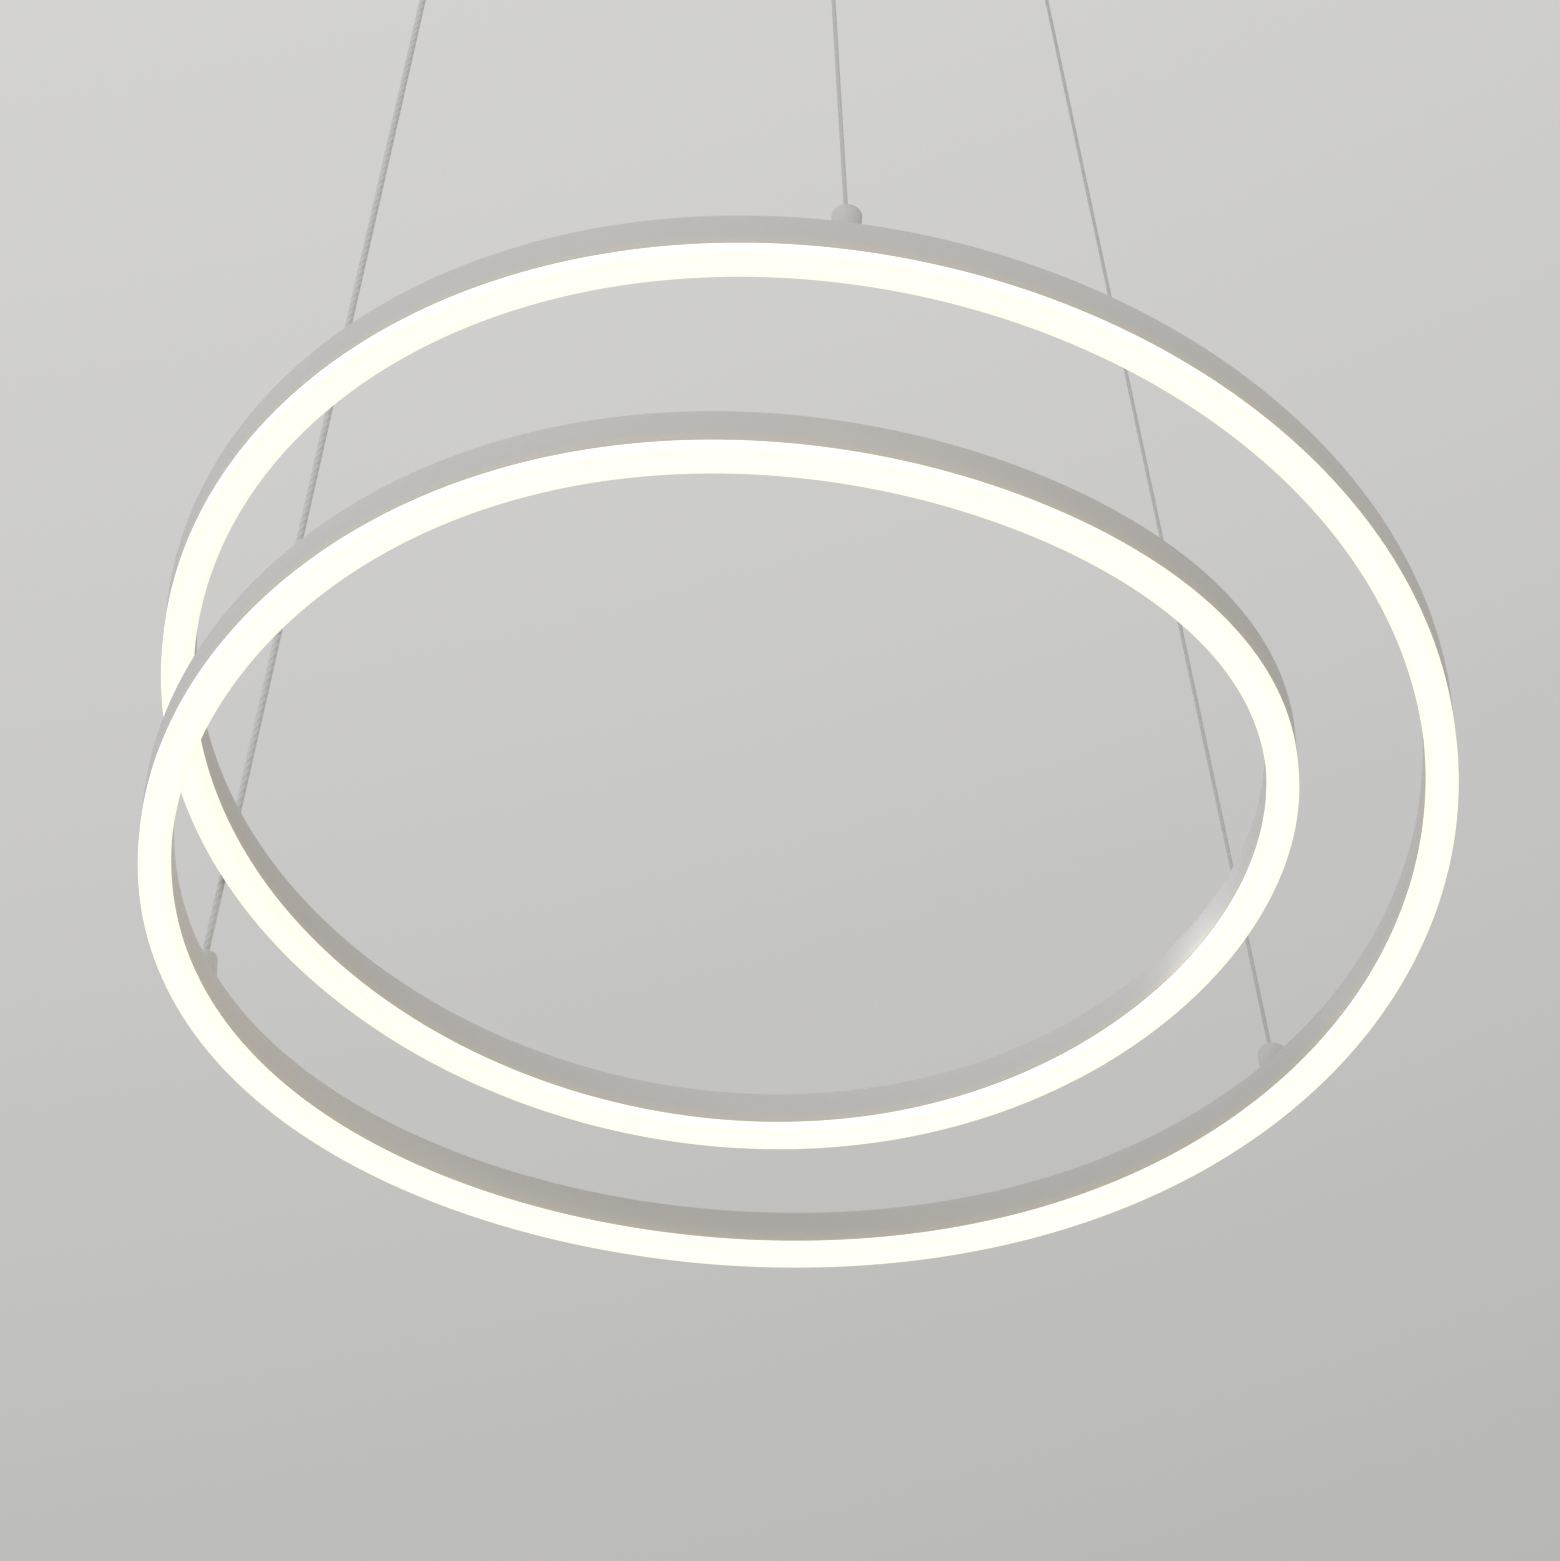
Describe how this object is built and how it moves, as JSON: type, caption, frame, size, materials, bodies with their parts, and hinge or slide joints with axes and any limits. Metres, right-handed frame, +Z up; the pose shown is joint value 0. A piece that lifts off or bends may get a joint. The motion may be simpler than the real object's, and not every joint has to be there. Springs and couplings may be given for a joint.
{
  "type": "pendant light",
  "caption": "Pendant light: a slim lit channel in an interlaced double loop, hung on wires and its power cord from a round canopy.",
  "frame": {"origin": "middle of the ceiling face of the ceiling plate", "axes": "+Z up, out of the ceiling face; +Y away from the viewer of the picture; +X to the viewer's right"},
  "size_m": [0.6153, 0.6288, 1.3962],
  "materials": {
    "channel_paint": "matt powder coat, warm light grey",
    "opal_diffuser": "opal, lit from inside",
    "strip_white": "white solder mask",
    "chip_yellow": "phosphor, lit",
    "bright_steel": "satin nickel plated",
    "dark_steel": "blackened",
    "wire_rope": "stranded steel rope",
    "cord_sheath": "pale matt sheath",
    "canopy_paint": "matt powder coat, warm light grey",
    "galvanised": "zinc plated sheet",
    "black_rubber": "matt",
    "white_plastic": "fine grained",
    "grey_plastic": "fine grained",
    "orange_plastic": "moulded",
    "circuit_board": "green solder mask",
    "brass": "plain",
    "copper": "tinned copper alloy",
    "lead_brown": "insulation",
    "lead_blue": "insulation",
    "lead_green": "insulation with a yellow stripe",
    "lead_red": "insulation"
  },
  "bodies": {
    "ceiling_mount": {"ceiling_plate": "galvanised", "entry_grommet": "black_rubber"},
    "hung_light": {"profile_outer_left": "channel_paint", "diffuser_outer_left": "opal_diffuser", "led_strip_outer_left": "strip_white", "profile_inner_right": "channel_paint", "diffuser_inner_right": "opal_diffuser", "led_strip_inner_right": "strip_white", "profile_inner_left": "channel_paint", "diffuser_inner_left": "opal_diffuser", "led_strip_inner_left": "strip_white", "profile_outer_right": "channel_paint", "diffuser_outer_right": "opal_diffuser", "led_strip_outer_right": "strip_white", "led_chips": "chip_yellow", "joiner_bars": "bright_steel", "joiner_screws": "dark_steel", "cap_studs": "bright_steel", "stud_nuts": "bright_steel", "wire_balls": "bright_steel", "cord_crimp": "bright_steel", "feed_leads": "lead_red", "wire_near": "wire_rope", "wire_right": "wire_rope", "power_cord": "cord_sheath", "canopy": "canopy_paint", "adjuster_bodies": "bright_steel", "spring_near": "dark_steel", "spring_right": "dark_steel", "outlet_lock_nuts": "brass", "gland_body": "white_plastic", "gland_sleeve": "black_rubber", "driver_case": "white_plastic", "driver_lid": "white_plastic", "driver_board": "circuit_board", "floor_nuts": "bright_steel", "terminal_block": "grey_plastic", "terminal_contacts": "copper", "lever_pin": "bright_steel", "live_lead": "lead_brown", "neutral_lead": "lead_blue", "earth_lead": "lead_green", "earth_lug": "copper", "output_leads": "lead_red"},
    "canopy_screw_a_body": {"canopy_screw_a": "bright_steel"},
    "canopy_screw_b_body": {"canopy_screw_b": "bright_steel"},
    "canopy_screw_c_body": {"canopy_screw_c": "bright_steel"},
    "gland_nut_body": {"gland_nut": "white_plastic"},
    "plunger_near_body": {"plunger_near": "bright_steel"},
    "plunger_right_body": {"plunger_right": "bright_steel"},
    "swivel_cap_cord_body": {"swivel_cap_cord": "channel_paint"},
    "swivel_cap_near_body": {"swivel_cap_near": "channel_paint"},
    "swivel_cap_right_body": {"swivel_cap_right": "channel_paint"},
    "terminal_lever_earth_body": {"terminal_lever_earth": "orange_plastic"},
    "terminal_lever_live_body": {"terminal_lever_live": "orange_plastic"},
    "terminal_lever_neutral_body": {"terminal_lever_neutral": "orange_plastic"}
  },
  "joints": [
    {"name": "canopy_drop", "type": "slide", "parent": "ceiling_mount", "child": "hung_light", "axis": [0, 0, -1], "range_m": [0, 0.04]},
    {"name": "canopy_screw_a_out", "type": "slide", "parent": "ceiling_mount", "child": "canopy_screw_a_body", "axis": [0.9135, -0.4067, 0], "range_m": [0, 0.003]},
    {"name": "canopy_screw_b_out", "type": "slide", "parent": "ceiling_mount", "child": "canopy_screw_b_body", "axis": [-0.1045, 0.9945, 0], "range_m": [0, 0.003]},
    {"name": "canopy_screw_c_out", "type": "slide", "parent": "ceiling_mount", "child": "canopy_screw_c_body", "axis": [-0.809, -0.5878, 0], "range_m": [0, 0.003]},
    {"name": "swivel_cap_near_turn", "type": "hinge", "parent": "hung_light", "child": "swivel_cap_near_body", "pos_m": [0.03613, -0.30253, -1.28943], "axis": [0.0657, 0.0065, 0.9978], "continuous": true},
    {"name": "swivel_cap_right_turn", "type": "hinge", "parent": "hung_light", "child": "swivel_cap_right_body", "pos_m": [0.25229, 0.19493, -1.3381], "axis": [-0.0264, 0.0333, 0.9991], "continuous": true},
    {"name": "swivel_cap_cord_turn", "type": "hinge", "parent": "hung_light", "child": "swivel_cap_cord_body", "pos_m": [-0.26961, 0.09999, -1.36321], "axis": [-0.027, -0.0866, 0.9959], "continuous": true},
    {"name": "plunger_near_press", "type": "slide", "parent": "hung_light", "child": "plunger_near_body", "axis": [0, 0, 1], "range_m": [0, 0.0025], "stiffness_N_per_m": 800, "springref_m": -0.001, "deforming": ["spring_near"]},
    {"name": "plunger_right_press", "type": "slide", "parent": "hung_light", "child": "plunger_right_body", "axis": [0, 0, 1], "range_m": [0, 0.0025], "stiffness_N_per_m": 800, "springref_m": -0.001, "deforming": ["spring_right"]},
    {"name": "gland_nut_turn", "type": "hinge", "parent": "hung_light", "child": "gland_nut_body", "pos_m": [-0.1333, 0.03572, -0.0575], "axis": [0, 0, 1], "continuous": true},
    {"name": "terminal_lever_earth_lift", "type": "hinge", "parent": "hung_light", "child": "terminal_lever_earth_body", "pos_m": [0.039, 0.05, -0.02695], "axis": [-1, 0, 0], "range_deg": [0, 90]},
    {"name": "terminal_lever_neutral_lift", "type": "hinge", "parent": "hung_light", "child": "terminal_lever_neutral_body", "pos_m": [0.05, 0.05, -0.02695], "axis": [-1, 0, 0], "range_deg": [0, 90]},
    {"name": "terminal_lever_live_lift", "type": "hinge", "parent": "hung_light", "child": "terminal_lever_live_body", "pos_m": [0.061, 0.05, -0.02695], "axis": [-1, 0, 0], "range_deg": [0, 90]}
  ]
}
